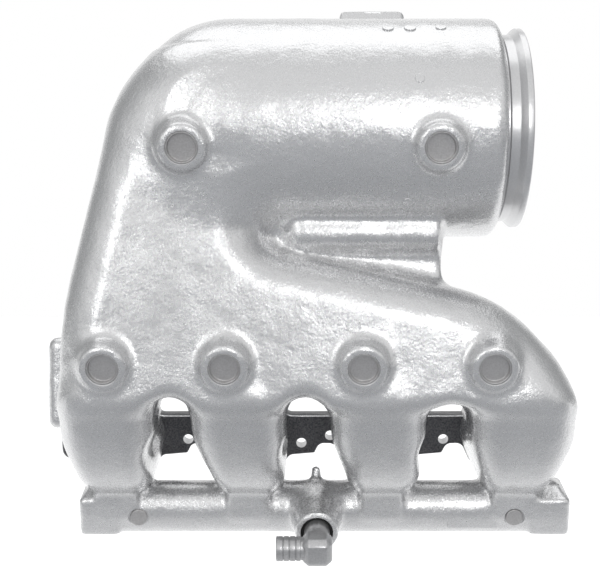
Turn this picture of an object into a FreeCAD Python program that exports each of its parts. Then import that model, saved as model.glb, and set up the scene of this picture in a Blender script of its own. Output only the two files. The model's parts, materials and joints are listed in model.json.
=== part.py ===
import FreeCAD, Part

import math
import os
import re

import Sketcher
from FreeCAD import Placement, Rotation, Vector

# Water-jacketed exhaust manifold for one bank of a V8, in millimetres.
# Origin: centre of the head flange's mating face, on the port centre line.
# +X points to the outlet, +Y to the engine, +Z up.
# The head flange, the plug bosses and the water inlet share a tilted frame, the flange frame:
# its X is the row's X, its Y runs up the mating face, and its Z points out of the head.

DIMENSIONS = [
    ("tilt", 16.0, "lean of the head flange, degrees"),
    ("port_pitch", 111.76, "4.400 in between exhaust ports"),
    ("port_radius", 20.5, "gas bore at a port"),
    ("gas_wall", 5.5, "metal between gas and water"),
    ("flange_thick", 12.0, "head flange thickness"),
    ("flange_half", 223.0, "half the flange's length"),
    ("flange_low", 13.0, "flange edge below the port line, between ports"),
    ("flange_high", 22.0, "flange edge above the port line, between ports"),
    ("port_pad_radius", 30.0, "round pad of the flange around a port"),
    ("bolt_hole_radius", 4.5, "clearance hole for M8"),
    ("access_radius", 9.5, "socket room in front of a bolt"),
    ("runner_radius", 37.0, "outside of a runner"),
    ("runner_lead", 28.6, "straight run from the mating face"),
    ("runner_bend", 38.0, "bend radius of a runner's centre line"),
    ("runner_water_radius", 31.5, "outside of the water space round a runner"),
    ("runner_top_radius", 44.0, "middle runner where it joins the log"),
    ("end_runner_top_radius", 40.0, "end runner where it joins the log"),
    ("runner_rise", 48.0, "height of the flared part of a runner"),
    ("arch_radius", 16.0, "round top of the gap between two runners"),
    ("log_front", 122.0, "front face of log and trunk, ahead of the origin"),
    ("log_back", 30.0, "back face of log and trunk, ahead of the origin"),
    ("log_round", 34.0, "front edge radius of log and trunk"),
    ("log_back_round", 20.0, "back edge radius of log and trunk"),
    ("log_gas_radius", 26.0, "gas duct in log and trunk"),
    ("log_gas_bend", 48.0, "bend of that duct into the trunk"),
    ("log_skin", 8.0, "outer wall of log and trunk"),
    ("barrel_radius", 91.0, "outside of the outlet barrel"),
    ("barrel_ahead", 50.0, "barrel axis ahead of the origin"),
    ("barrel_up", 264.0, "barrel axis above the origin"),
    ("dome_x", -60.0, "centre of the barrel's closed round end"),
    ("barrel_end", 149.0, "end of the barrel's full diameter"),
    ("barrel_round", 8.0, "edge radius at that end"),
    ("chamber_radius", 66.0, "gas chamber in the barrel"),
    ("barrel_water_radius", 84.0, "outside of the water space in the barrel"),
    ("neck_radius", 78.0, "machined neck"),
    ("rim_radius", 83.0, "clamp rim"),
    ("neck_end", 159.0, "end of the neck"),
    ("rim_start", 164.0, "start of the rim's cylinder"),
    ("outlet_x", 169.0, "outlet face"),
    ("water_hole_radius", 3.5, "water passage in the outlet face"),
    ("water_hole_circle", 73.5, "radius of their circle"),
    ("rail_radius", 22.0, "outside of the water rail"),
    ("rail_bore_radius", 14.0, "bore of the water rail"),
    ("rail_drop", 47.5, "rail axis below the port line, along the flange"),
    ("rail_out", 44.8, "rail axis out from the mating face"),
    ("rail_left", 200.0, "left end of the rail"),
    ("rail_right", 214.0, "right end of the rail"),
    ("end_block_width", 34.0, "end block along the rail"),
    ("end_block_height", 34.0, "end block along the flange"),
    ("end_block_depth", 47.0, "end block out from the head"),
    ("stub_radius", 15.5, "water stub between rail and runner"),
    ("stub_bore_radius", 7.0, "its bore"),
    ("end_plug_radius", 10.5, "pipe plug in a rail end"),
    ("end_plug_length", 12.0, "its length"),
    ("plug_radius", 12.7, "1.000 in core plug"),
    ("plug_depth", 8.0, "cup depth"),
    ("plug_sheet", 1.5, "cup sheet"),
    ("plug_sink", 1.0, "cup lip below the boss face"),
    ("boss_face_radius", 18.4, "core plug boss at its face"),
    ("boss_base_radius", 22.5, "core plug boss at its base"),
    ("boss_height", 24.0, "boss, with the part inside the wall"),
    ("small_plug_radius", 7.4, "round plug in the rail's front"),
    ("small_plug_length", 9.0, "its length"),
    ("inlet_boss_radius", 18.4, "water inlet boss"),
    ("inlet_face_out", 94.8, "its face, out from the mating face"),
    ("counterbore_radius", 13.5, "seat of the elbow's shoulder"),
    ("counterbore_depth", 6.0, "its depth"),
    ("inlet_bore_radius", 9.0, "bore behind the seat"),
    ("shoulder_radius", 10.7, "round shoulder of the elbow"),
    ("elbow_body", 24.0, "forged block of the elbow"),
    ("elbow_out", 121.3, "centre of that block, out from the mating face"),
    ("tail_radius", 9.9, "hose tail"),
    ("tail_reach", 33.0, "end of the hose tail"),
    ("elbow_bore_radius", 6.0, "water way of the elbow"),
    ("web_ahead", 75.0, "middle of the web"),
    ("web_thick", 25.0, "web under the barrel"),
    ("web_length", 160.0, "its length along X"),
    ("web_height", 85.0, "its height"),
    ("rib_length", 125.0, "half-round rib along X"),
    ("rib_radius", 13.5, "half-round rib on the web"),
    ("rib_ahead", 85.0, "rib axis ahead of the origin"),
    ("rib_up", 174.0, "rib axis above the origin"),
    ("sender_radius", 9.0, "sensor port in the top pad"),
    ("sensor_pad_length", 55.0, "top pad along X"),
    ("sensor_pad_width", 44.0, "top pad along Y"),
    ("bracket_pad_width", 33.0, "left rear pad along Y"),
    ("bracket_pad_height", 77.0, "left rear pad along Z"),
    ("pad_depth", 41.0, "both pads, with the part inside the wall"),
    ("log_foot", 35.0, "underside of the log between the runners"),
    ("nub_radius", 3.7, "small nub on top of the rail"),
    ("nub_height", 18.0, "its height, with the part inside the wall"),
    ("sender_bore_depth", 40.0, "drilling under the sensor port"),
]

DIM = {alias: value for alias, value, _ in DIMENSIONS}

PORTS = [(i - 1.5) * DIM["port_pitch"] for i in range(4)]
# Flange bolts: place along X and up the mating face.
BOLTS = [(-210.93, 3.5), (-111.76, 0.0), (-12.58, -3.5), (12.58, 3.5), (111.76, 0.0), (210.93, -3.5)]
# Core plug bosses in the flange frame: X, up, and the face's distance out.
LOWER_BOSSES = [(-168.0, 99.8, 108.7), (-73.0, 99.8, 108.7), (36.0, 99.8, 108.7), (138.5, 99.8, 108.7)]
UPPER_BOSSES = [(-105.0, 267.8, 74.1), (95.0, 267.8, 74.1)]
SMALL_PLUGS = [-150.0, 167.0]
ARCHES = [(-114.5, 28.0), (-3.0, 28.0), (109.5, 28.0)]
TURN = Rotation(Vector(1, 0, 0), 90 + DIM["tilt"])

doc = FreeCAD.newDocument("ExhaustManifold")


def make_sheet():
    sheet = doc.addObject("Spreadsheet::Sheet", "Dimensions")
    for row, (alias, value, meaning) in enumerate(DIMENSIONS, start=1):
        sheet.set(f"A{row}", meaning)
        sheet.set(f"B{row}", str(value))
        sheet.setAlias(f"B{row}", alias)
    doc.recompute()


def bind(item, **sizes):
    """Tie each named size of a document object to an expression of the sheet's aliases."""
    for size, text in sizes.items():
        formula = re.sub(r"[a-z]\w*", lambda word: "Dimensions." + word.group(), text)
        item.setExpression(size, formula)


def flange_place(x, up, out):
    """Placement in the flange frame: local Z points out of the head."""
    return Placement(TURN.multVec(Vector(x, up, out)), TURN)


def along_x(x, y, z):
    """Placement whose local Z points along +X."""
    return Placement(Vector(x, y, z), Rotation(Vector(0, 1, 0), 90))


def flange_along_x(x, up, out):
    """A point of the flange frame, with local Z along +X."""
    return Placement(TURN.multVec(Vector(x, up, out)), Rotation(Vector(0, 1, 0), 90))


def cylinder(name, place, radius, length):
    solid = doc.addObject("Part::Cylinder", name)
    bind(solid, Radius=radius, Height=length)
    solid.Placement = place
    return solid


def cone(name, place, radius, end_radius, length):
    solid = doc.addObject("Part::Cone", name)
    bind(solid, Radius1=radius, Radius2=end_radius, Height=length)
    solid.Placement = place
    return solid


def sphere(name, centre, radius):
    """Ball with its poles slanting down and back, clear of the seams of the bars that meet it."""
    solid = doc.addObject("Part::Sphere", name)
    bind(solid, Radius=radius)
    solid.Placement = Placement(centre, Rotation(Vector(1, 0, 0), 35) * Rotation(Vector(0, 1, 0), 50))
    return solid


def box(name, place, length, width, height):
    solid = doc.addObject("Part::Box", name)
    bind(solid, Length=length, Width=width, Height=height)
    solid.Placement = place
    return solid


def fuse(name, pieces):
    whole = doc.addObject("Part::MultiFuse", name)
    whole.Shapes = pieces
    return whole


def join_in_turn(name, pieces):
    """Fuse one piece after another, which holds where many curved faces nearly touch."""
    whole = pieces[0]
    for number, piece in enumerate(pieces[1:], start=1):
        step = doc.addObject("Part::Fuse", f"{name}_{number}")
        step.Base = whole
        step.Tool = piece
        whole = step
    return whole


def cut(name, base, tool):
    whole = doc.addObject("Part::Cut", name)
    whole.Base = base
    whole.Tool = tool
    return whole


def new_body(name, place=None):
    body = doc.addObject("PartDesign::Body", name)
    if place is not None:
        body.Placement = place
    return body


def plane_of(body, role):
    return next(feature for feature in body.Origin.OriginFeatures if feature.Role == role)


def sketch_on(body, name, role, offset=0.0):
    sketch = body.newObject("Sketcher::SketchObject", name)
    sketch.AttachmentSupport = [(plane_of(body, role), "")]
    sketch.MapMode = "FlatFace"
    sketch.AttachmentOffset = Placement(Vector(0, 0, offset), Rotation())
    return sketch


def end_number(sketch, index, corner):
    """Sketcher's number, 1 or 2, for the end of a line or arc that lies on a corner."""
    point = Vector(*corner[:2], 0)
    return min((1, 2), key=lambda number: sketch.getPoint(index, number).distanceToPoint(point))


def draw(sketch, corners):
    """Close an outline. A corner (x, y) ends a line, and (x, y, via_x, via_y) ends an arc."""
    start = Vector(*corners[-1][:2], 0)
    for corner in corners:
        end = Vector(*corner[:2], 0)
        if len(corner) == 4:
            sketch.addGeometry(Part.Arc(start, Vector(*corner[2:], 0), end))
        else:
            sketch.addGeometry(Part.LineSegment(start, end))
        start = end
    for i, corner in enumerate(corners):
        following = (i + 1) % len(corners)
        ends = (i, end_number(sketch, i, corner), following, end_number(sketch, following, corner))
        sketch.addConstraint(Sketcher.Constraint("Coincident", *ends))


def pin_radius(sketch, outline, index, expression):
    """Hold one corner's height above the sketch's X axis to an expression of the sheet."""
    corner = outline[index]
    end = end_number(sketch, index, corner)
    number = sketch.addConstraint(Sketcher.Constraint("DistanceY", -1, 1, index, end, corner[1]))
    bind(sketch, **{f"Constraints[{number}]": expression})


def revolve(body, name, outline, radii):
    """Turn an outline in local XY about local X. radii ties corners to the sheet."""
    sketch = sketch_on(body, name + "_profile", "XY_Plane")
    draw(sketch, outline)
    for index, expression in radii.items():
        pin_radius(sketch, outline, index, expression)
    turned = body.newObject("PartDesign::Revolution", name)
    turned.Profile = sketch
    turned.ReferenceAxis = (sketch, ["H_Axis"])
    turned.Angle = 360
    return turned


def pad(body, name, sketch, length):
    solid = body.newObject("PartDesign::Pad", name)
    solid.Profile = sketch
    bind(solid, Length=length)
    return solid


def tube(name, place, corners, bend, radius):
    """Round bar along a flat path in local XY: a straight run, a bend and a straight run."""
    first, middle, last = (Vector(*corner, 0) for corner in corners)
    back = (first - middle).normalize()
    ahead = (last - middle).normalize()
    turn = math.pi - back.getAngle(ahead)
    reach = bend * math.tan(turn / 2)
    arc_start = middle + back * reach
    arc_end = middle + ahead * reach
    centre = middle + (back + ahead).normalize() * (bend / math.cos(turn / 2))
    axis = ahead.cross(back).normalize()
    spoke = (arc_start - centre).normalize()
    elbow = doc.addObject("Part::Torus", name + "_bend")
    bind(elbow, Radius2=radius)
    elbow.Radius1 = bend
    elbow.Angle3 = math.degrees(turn)
    elbow.Placement = place * Placement(centre, Rotation(spoke, axis.cross(spoke), axis, "ZXY"))
    runs = []
    for part, start, end in (("in", first, arc_start), ("out", arc_end, last)):
        if (end - start).Length < 0.01:
            continue
        run = doc.addObject("Part::Cylinder", f"{name}_{part}")
        bind(run, Radius=radius)
        run.Height = (end - start).Length
        run.Placement = place * Placement(start, Rotation(Vector(0, 0, 1), end - start))
        runs.append(run)
    return join_in_turn(name, [elbow] + runs)


def runner_place(x):
    """Local X out of the head, local Y up the flange, so that a runner's path is flat."""
    turn = Rotation(Vector(0, 1, 0), -90)
    return Placement(TURN.multVec(Vector(x, 0, 0)), TURN * turn)


def runner_corners(start, top):
    """Path out of a port and up into the log, with its upper run vertical in the row's frame."""
    lean = math.radians(DIM["tilt"])
    half_turn = (math.pi / 2 + lean) / 2
    corner = DIM["runner_lead"] + DIM["runner_bend"] * math.tan(half_turn)
    rise = top + corner * math.sin(lean)
    return [(start, 0.0), (corner, 0.0), (corner - rise * math.sin(lean), rise * math.cos(lean))]


# Outline of log and trunk as seen from the front: each corner's X and Z, and the radius that rounds it.
LOG_OUTLINE = [
    (-209.0, 0.0, 0.0),
    (-208.5, 104.0, 300.0),
    (-149.0, 350.0, 80.0),
    (-30.0, 318.0, 38.0),
    (-53.0, 167.0, 25.0),
    (210.5, 109.4, 130.0),
    (210.5, 0.0, 0.0),
]
# Its inner copy, one wall in, which bounds the water space.
LOG_WATER_OUTLINE = [
    (-189.5, 40.0, 0.0),
    (-189.0, 104.0, 250.0),
    (-138.0, 332.0, 66.0),
    (-50.0, 304.0, 20.0),
    (-70.0, 154.0, 36.0),
    (190.0, 97.0, 64.0),
    (190.0, 40.0, 0.0),
]
# The runners take over from the log below this height.


def rounded(corners):
    """Turn corners with radii into the line and arc ends that draw() takes."""
    ends = []
    count = len(corners)
    for i, (x, z, radius) in enumerate(corners):
        corner = Vector(x, z, 0)
        if radius == 0.0:
            ends.append((x, z))
            continue
        back = (Vector(*corners[i - 1][:2], 0) - corner).normalize()
        ahead = (Vector(*corners[(i + 1) % count][:2], 0) - corner).normalize()
        half_gap = back.getAngle(ahead) / 2
        reach = radius / math.tan(half_gap)
        nearest = radius / math.sin(half_gap) - radius
        middle = corner + (back + ahead).normalize() * nearest
        start, end = corner + back * reach, corner + ahead * reach
        ends.append((start.x, start.y))
        ends.append((end.x, end.y, middle.x, middle.y))
    return ends


def log_block(name, outline, front, back):
    """Upright slab between two planes of constant Y, given as expressions and numbers ahead."""
    front_text, back_text, back_value = front, back, DIM["log_back"]
    body = new_body(name)
    sketch = sketch_on(body, name + "_outline", "XZ_Plane", back_value)
    bind(sketch, **{".AttachmentOffset.Base.z": back_text})
    draw(sketch, rounded(outline))
    pad(body, name + "_pad", sketch, f"{front_text} - ({back_text})")
    return body


def face_edges(shape, y, keep):
    """Names of a slab's edges that lie in the plane Y = y and pass the test keep."""
    names = []
    for number, edge in enumerate(shape.Edges, start=1):
        flat = all(abs(vertex.Y - y) < 0.01 for vertex in edge.Vertexes)
        if flat and keep(edge):
            names.append(f"Edge{number}")
    return names


def round_log(body):
    """Round the slab's front and back edges, all but its foot."""
    foot = LOG_OUTLINE[0][1] + 1.0
    for name, y, radius in (("front_round", -DIM["log_front"], "log_round"),
                            ("back_round", -DIM["log_back"], "log_back_round")):
        doc.recompute()
        base = body.Tip
        edges = face_edges(base.Shape, y, lambda edge: edge.BoundBox.ZMax > foot)
        rounded = body.newObject("PartDesign::Fillet", name)
        rounded.Base = (base, edges)
        bind(rounded, Radius=radius)


def barrel(name):
    """Closed dome, full diameter, undercut neck and clamp rim, turned about X."""
    r, end, edge = DIM["barrel_radius"], DIM["barrel_end"], DIM["barrel_round"]
    slope = math.sqrt(0.5)
    body = new_body(name, Placement(Vector(0, -DIM["barrel_ahead"], DIM["barrel_up"]), Rotation()))
    outline = [
        (DIM["dome_x"] - r, 0.0),
        (DIM["dome_x"], r, DIM["dome_x"] - r * slope, r * slope),
        (end - edge, r),
        (end, r - edge, end - edge + edge * slope, r - edge + edge * slope),
        (end, DIM["neck_radius"]),
        (DIM["neck_end"], DIM["neck_radius"]),
        (DIM["rim_start"], DIM["rim_radius"]),
        (DIM["outlet_x"], DIM["rim_radius"]),
        (DIM["outlet_x"], 0.0),
    ]
    revolve(body, name + "_turned", outline, {1: "barrel_radius", 4: "neck_radius", 7: "rim_radius"})
    return body


def barrel_room(name, radius, end):
    """Round-ended space along the barrel's axis, up to X = end. Its radius is an alias or a sum of two."""
    r = sum(DIM[alias] for alias in radius.split(" + "))
    soft = 0.6 * r
    slope = math.sqrt(0.5)
    closed = DIM["dome_x"] - 0.8 * r
    body = new_body(name, Placement(Vector(0, -DIM["barrel_ahead"], DIM["barrel_up"]), Rotation()))
    outline = [
        (closed, 0.0),
        (closed, r - soft),
        (closed + soft, r, closed + soft - soft * slope, r - soft + soft * slope),
        (end, r),
        (end, 0.0),
    ]
    revolve(body, name + "_turned", outline, {2: radius, 3: radius})
    return body


def flange_outside():
    """Head flange: a bar between the ports and a round pad about each."""
    body = new_body("head_flange", flange_place(0, 0, 0))
    bar = sketch_on(body, "flange_bar", "XY_Plane")
    half, low, high = DIM["flange_half"], -DIM["flange_low"], DIM["flange_high"]
    draw(bar, [(-half + 12, low), (-half + 12, high - 5, -half, (low + high - 5) / 2),
               (-half + 30, high), (half - 30, high), (half - 12, high - 5),
               (half - 12, low, half, (low + high - 5) / 2)])
    pad(body, "flange_bar_pad", bar, "flange_thick")
    rounds = sketch_on(body, "port_pads", "XY_Plane")
    for x in PORTS:
        ring = rounds.addGeometry(Part.Circle(Vector(x, 0, 0), Vector(0, 0, 1), DIM["port_pad_radius"]))
        number = rounds.addConstraint(Sketcher.Constraint("Radius", ring, DIM["port_pad_radius"]))
        bind(rounds, **{f"Constraints[{number}]": "port_pad_radius"})
    pad(body, "port_pads_pad", rounds, "flange_thick")
    return body


def bend_end():
    """How far ahead of the origin, and how high, a runner's bend ends."""
    lean = math.radians(DIM["tilt"])
    lead, bend = DIM["runner_lead"], DIM["runner_bend"]
    ahead = lead * math.cos(lean) + bend * math.sin(lean) + bend
    return ahead, bend * math.cos(lean) - lead * math.sin(lean)


def runner_outside(number, x):
    """Straight run and bend off the flange, a flared leg up into the log, and the water stub."""
    ahead, up = bend_end()
    corners = runner_corners(DIM["flange_thick"] - 2, up)
    top_radius = "runner_top_radius" if number in (2, 3) else "end_runner_top_radius"
    foot = Placement(Vector(x, -ahead, up), Rotation())
    return [
        tube(f"runner_{number}", runner_place(x), corners, DIM["runner_bend"], "runner_radius"),
        cone(f"runner_{number}_flare", foot, "runner_radius", top_radius, "runner_rise"),
        cylinder(f"stub_{number}", stub_place(x), "stub_radius", "rail_drop"),
    ]


def stub_place(x):
    """Local Z up the flange, from the rail's axis."""
    turn = Rotation(Vector(1, 0, 0), -90)
    return Placement(TURN.multVec(Vector(x, -DIM["rail_drop"], DIM["rail_out"])), TURN * turn)


def rail_outside():
    """Water rail, its end blocks, the inlet boss and the small nub on top."""
    drop, out = -DIM["rail_drop"], DIM["rail_out"]
    left, right = -DIM["rail_left"], DIM["rail_right"]
    middle = flange_along_x(left + 4, drop, out)
    pieces = [cylinder("rail", middle, "rail_radius", "rail_left + rail_right - 8")]
    for name, x in (("left", left), ("right", right - DIM["end_block_width"])):
        corner = flange_place(x, drop - DIM["end_block_height"] / 2, out - DIM["end_block_depth"] / 2)
        pieces.append(box(f"end_block_{name}", corner,
                          "end_block_width", "end_block_height", "end_block_depth"))
    pieces.append(cone("inlet_root", flange_place(0, drop, out), "inlet_boss_radius + 6", "inlet_boss_radius",
                       "rail_radius + 10"))
    pieces.append(cylinder("inlet_boss", flange_place(0, drop, out), "inlet_boss_radius",
                           "inlet_face_out - rail_out"))
    pieces.append(cylinder("nub", Placement(Vector(0, -32, -45), Rotation()), "nub_radius", "nub_height"))
    return pieces


def bosses_outside():
    pieces = []
    for group, places in (("lower", LOWER_BOSSES), ("upper", UPPER_BOSSES)):
        for number, (x, up, face) in enumerate(places, start=1):
            pieces.append(cone(f"boss_{group}_{number}", flange_place(x, up, face - DIM["boss_height"]),
                               "boss_base_radius + 3", "boss_face_radius", "boss_height"))
    return pieces


def pads_and_web():
    """Web with its half-round rib, the sensor pad on top, and the bracket pad at the left rear."""
    web = box("web", Placement(Vector(-60, -DIM["web_ahead"] - DIM["web_thick"] / 2, 118), Rotation()),
              "web_length", "web_thick", "web_height")
    rib = cylinder("rib", along_x(-28, -DIM["rib_ahead"], DIM["rib_up"]), "rib_radius", "rib_length")
    rib_end = sphere("rib_end", Vector(-28, -DIM["rib_ahead"], DIM["rib_up"]), "rib_radius")
    top = box("sensor_pad", Placement(Vector(20, -42, 325), Rotation()),
              "sensor_pad_length", "sensor_pad_width", "pad_depth")
    rear = box("bracket_pad", Placement(Vector(-228, -46, 10), Rotation()),
               "pad_depth", "bracket_pad_width", "bracket_pad_height")
    return [web, rib, rib_end, top, rear]


def gas_space():
    """Runner ducts, log duct, trunk and outlet chamber, as one tool."""
    pieces = []
    for number, x in enumerate(PORTS, start=1):
        pieces.append(tube(f"gas_runner_{number}", runner_place(x), runner_corners(-1.0, 60.0),
                           DIM["runner_bend"], "port_radius"))
    pieces.append(log_duct("gas_log", "log_gas_radius"))
    pieces.append(barrel_room("gas_chamber", "chamber_radius", DIM["outlet_x"] + 1))
    return join_in_turn("gas_space", pieces)


def log_duct(name, radius):
    """Duct from the last runner up the log and the trunk to the chamber."""
    middle = -(DIM["log_front"] + DIM["log_back"]) / 2
    place = Placement(Vector(0, middle, 0), Rotation(Vector(1, 0, 0), 90))
    corners = [(172.0, 66.0), (-116.0, 102.0), (-116.0, 248.0)]
    return tube(name, place, corners, DIM["log_gas_bend"], radius)


def water_space():
    """Jacket between the gas walls and the outer walls."""
    rooms = [log_block("water_log", LOG_WATER_OUTLINE, "log_front - log_skin", "log_back + log_skin")]
    walls = []
    for number, x in enumerate(PORTS, start=1):
        path = runner_corners(DIM["flange_thick"] + 6.0, 50.0)
        rooms.append(tube(f"water_runner_{number}", runner_place(x), path, DIM["runner_bend"],
                          "runner_water_radius"))
        walls.append(tube(f"wall_runner_{number}", runner_place(x), runner_corners(0.0, 60.0),
                          DIM["runner_bend"], "port_radius + gas_wall"))
    walls.append(log_duct("wall_log", "log_gas_radius + gas_wall"))
    rooms.append(barrel_room("water_barrel", "barrel_water_radius", DIM["barrel_end"] - DIM["barrel_round"]))
    walls.append(barrel_room("wall_chamber", "chamber_radius + gas_wall", DIM["barrel_end"]))
    return cut("water_space", join_in_turn("water_rooms", rooms), join_in_turn("gas_walls", walls))


def machining():
    """Everything drilled or bored after casting, as one tool."""
    bores = []
    for number, (x, up) in enumerate(BOLTS, start=1):
        bores.append(cylinder(f"bolt_hole_{number}", flange_place(x, up, -1), "bolt_hole_radius",
                              "flange_thick + 2"))
        bores.append(cylinder(f"bolt_access_{number}", flange_place(x, up, DIM["flange_thick"]),
                              "access_radius", "log_front + rail_radius"))
    for group, places in (("lower", LOWER_BOSSES), ("upper", UPPER_BOSSES)):
        for number, (x, up, face) in enumerate(places, start=1):
            bores.append(cylinder(f"plug_bore_{group}_{number}", flange_place(x, up, face - 20),
                                  "plug_radius", "plug_depth + 13"))
    drop, out = -DIM["rail_drop"], DIM["rail_out"]
    bores.append(cylinder("rail_bore", flange_along_x(-DIM["rail_left"] + 14, drop, out), "rail_bore_radius",
                          "rail_left + rail_right - 28"))
    bores.append(cylinder("rail_drilling", flange_along_x(-DIM["rail_left"] - 1, drop, out),
                          "end_plug_radius", "rail_left + rail_right + 2"))
    for number, x in enumerate(PORTS, start=1):
        bores.append(cylinder(f"stub_bore_{number}", stub_place(x), "stub_bore_radius",
                              "rail_drop - port_radius - gas_wall + 2"))
    bores.append(cylinder("inlet_bore", flange_place(0, drop, out), "inlet_bore_radius",
                          "inlet_face_out - rail_out"))
    seat = DIM["inlet_face_out"] - DIM["counterbore_depth"]
    bores.append(cylinder("counterbore", flange_place(0, drop, seat), "counterbore_radius",
                          "counterbore_depth + 1"))
    for number, x in enumerate(SMALL_PLUGS, start=1):
        bores.append(cylinder(f"small_plug_bore_{number}", flange_place(x, drop, out + 10),
                              "small_plug_radius", "rail_radius"))
    circle = DIM["water_hole_circle"]
    for number in range(8):
        angle = math.radians(22.5 + 45.0 * number)
        place = along_x(DIM["barrel_end"] - 12, circle * math.cos(angle) - DIM["barrel_ahead"],
                        circle * math.sin(angle) + DIM["barrel_up"])
        bores.append(cylinder(f"water_hole_{number + 1}", place, "water_hole_radius",
                              "outlet_x - barrel_end + 14"))
    bores.append(cylinder("sensor_bore", Placement(Vector(47.5, -20, 325), Rotation()), "sender_radius",
                          "sender_bore_depth"))
    return fuse("machining", bores)


def arches():
    """Round tops of the openings between the runners."""
    pieces = []
    for number, (x, z) in enumerate(ARCHES, start=1):
        place = Placement(Vector(x, 0, z), Rotation(Vector(1, 0, 0), 90))
        pieces.append(cylinder(f"arch_{number}", place, "arch_radius", "log_front + 10"))
    return pieces


def manifold_casting():
    slab = log_block("log_slab", LOG_OUTLINE, "log_front", "log_back")
    round_log(slab)
    below = 20
    foot = box("log_room", Placement(Vector(-DIM["flange_half"], -1.25 * DIM["log_front"], -below), Rotation()),
               "flange_half * 2", "log_front * 1.5", f"log_foot + {below}")
    log = cut("log", slab, fuse("log_openings", [foot] + arches()))
    solids = [log, barrel("barrel")]
    for number, x in enumerate(PORTS, start=1):
        solids += runner_outside(number, x)
    solids += rail_outside() + bosses_outside() + pads_and_web()
    solids.append(flange_outside())
    trimmed = cut("trimmed", join_in_turn("outside", solids), machining())
    jacketed = cut("jacketed", trimmed, water_space())
    casting = cut("manifold_casting", jacketed, gas_space())
    return casting


def cup_plug(name, place):
    """Pressed sheet cup, open outwards. Its axis is the body's X before it is turned upright."""
    r, sheet, depth = DIM["plug_radius"], DIM["plug_sheet"], DIM["plug_depth"]
    body = new_body(name, place.multiply(Placement(Vector(), Rotation(Vector(0, 1, 0), -90))))
    floor = depth / 2
    outline = [(floor - sheet, 0.0), (floor - sheet, r - sheet), (0.0, r - sheet), (0.0, r), (depth, r),
               (depth, r - sheet), (floor, r - sheet), (floor, 0.0)]
    revolve(body, name + "_cup", outline, {3: "plug_radius", 4: "plug_radius"})
    return body


def round_plug(name, place, radius, length, socket):
    """Solid plug with a hexagon socket in its outer end."""
    body = new_body(name, place)
    disc = sketch_on(body, name + "_disc", "XY_Plane")
    ring = disc.addGeometry(Part.Circle(Vector(), Vector(0, 0, 1), DIM[radius]))
    number = disc.addConstraint(Sketcher.Constraint("Radius", ring, DIM[radius]))
    bind(disc, **{f"Constraints[{number}]": radius})
    pad(body, name + "_pad", disc, length)
    doc.recompute()
    hexagon = sketch_on(body, name + "_hexagon", "XY_Plane")
    bind(hexagon, **{".AttachmentOffset.Base.z": length})
    corner = socket / math.sqrt(3)
    turns = [math.pi * k / 3 for k in range(6)]
    draw(hexagon, [(corner * math.cos(turn), corner * math.sin(turn)) for turn in turns])
    pocket = body.newObject("PartDesign::Pocket", name + "_socket")
    pocket.Profile = hexagon
    bind(pocket, Length=f"({length}) / 2")
    return body


def inlet_elbow():
    """Forged block with a round shoulder towards the rail and a barbed hose tail towards -X."""
    drop, out = -DIM["rail_drop"], DIM["elbow_out"]
    seat = DIM["inlet_face_out"] - DIM["counterbore_depth"]
    half = DIM["elbow_body"] / 2
    block = new_body("elbow_block", flange_place(0, drop, out - half))
    face = sketch_on(block, "elbow_face", "XY_Plane")
    trim = half * 0.45
    draw(face, [(-half, -half + trim), (-half, half - trim), (-half + trim, half), (half - trim, half),
                (half, half - trim), (half, -half + trim), (half - trim, -half), (-half + trim, -half)])
    pad(block, "elbow_pad", face, "elbow_body")
    shoulder = cylinder("elbow_shoulder", flange_place(0, drop, seat), "shoulder_radius",
                        "elbow_out - inlet_face_out + counterbore_depth")
    place = flange_along_x(0, drop, out)
    tail = new_body("elbow_tail", Placement(place.Base, TURN * Rotation(Vector(0, 1, 0), 180)))
    r, end = DIM["tail_radius"], DIM["tail_reach"]
    outline = [(0.0, 0.0), (0.0, r - 0.8), (half + 1.5, r - 0.8), (half + 1.5, r)]
    for groove in (16.5, 21.5, 26.5):
        outline += [(groove, r), (groove + 0.6, r - 0.8), (groove + 1.2, r)]
    outline += [(end - 0.5, r), (end, r - 0.5), (end, 0.0)]
    revolve(tail, "elbow_tail_turned", outline, {3: "tail_radius", 4: "tail_radius"})
    solid = fuse("elbow_solid", [block, shoulder, tail])
    ways = fuse("elbow_ways", [
        cylinder("elbow_way_in", flange_place(0, drop, seat - 1), "elbow_bore_radius",
                 "elbow_out - inlet_face_out + 7"),
        cylinder("elbow_way_out", flange_along_x(-end - 1, drop, out), "elbow_bore_radius", "tail_reach + 1"),
        sphere("elbow_way_turn", flange_place(0, drop, out).Base, "elbow_bore_radius"),
    ])
    return cut("water_inlet_elbow", solid, ways)


def o_ring():
    ring = doc.addObject("Part::Torus", "inlet_o_ring")
    bind(ring, Radius1="(counterbore_radius + shoulder_radius) / 2",
         Radius2="(counterbore_radius - shoulder_radius) / 2 - 0.1")
    seat = DIM["inlet_face_out"] - DIM["counterbore_depth"]
    ring.Placement = flange_place(0, -DIM["rail_drop"], seat + 1.4)
    return ring


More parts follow.
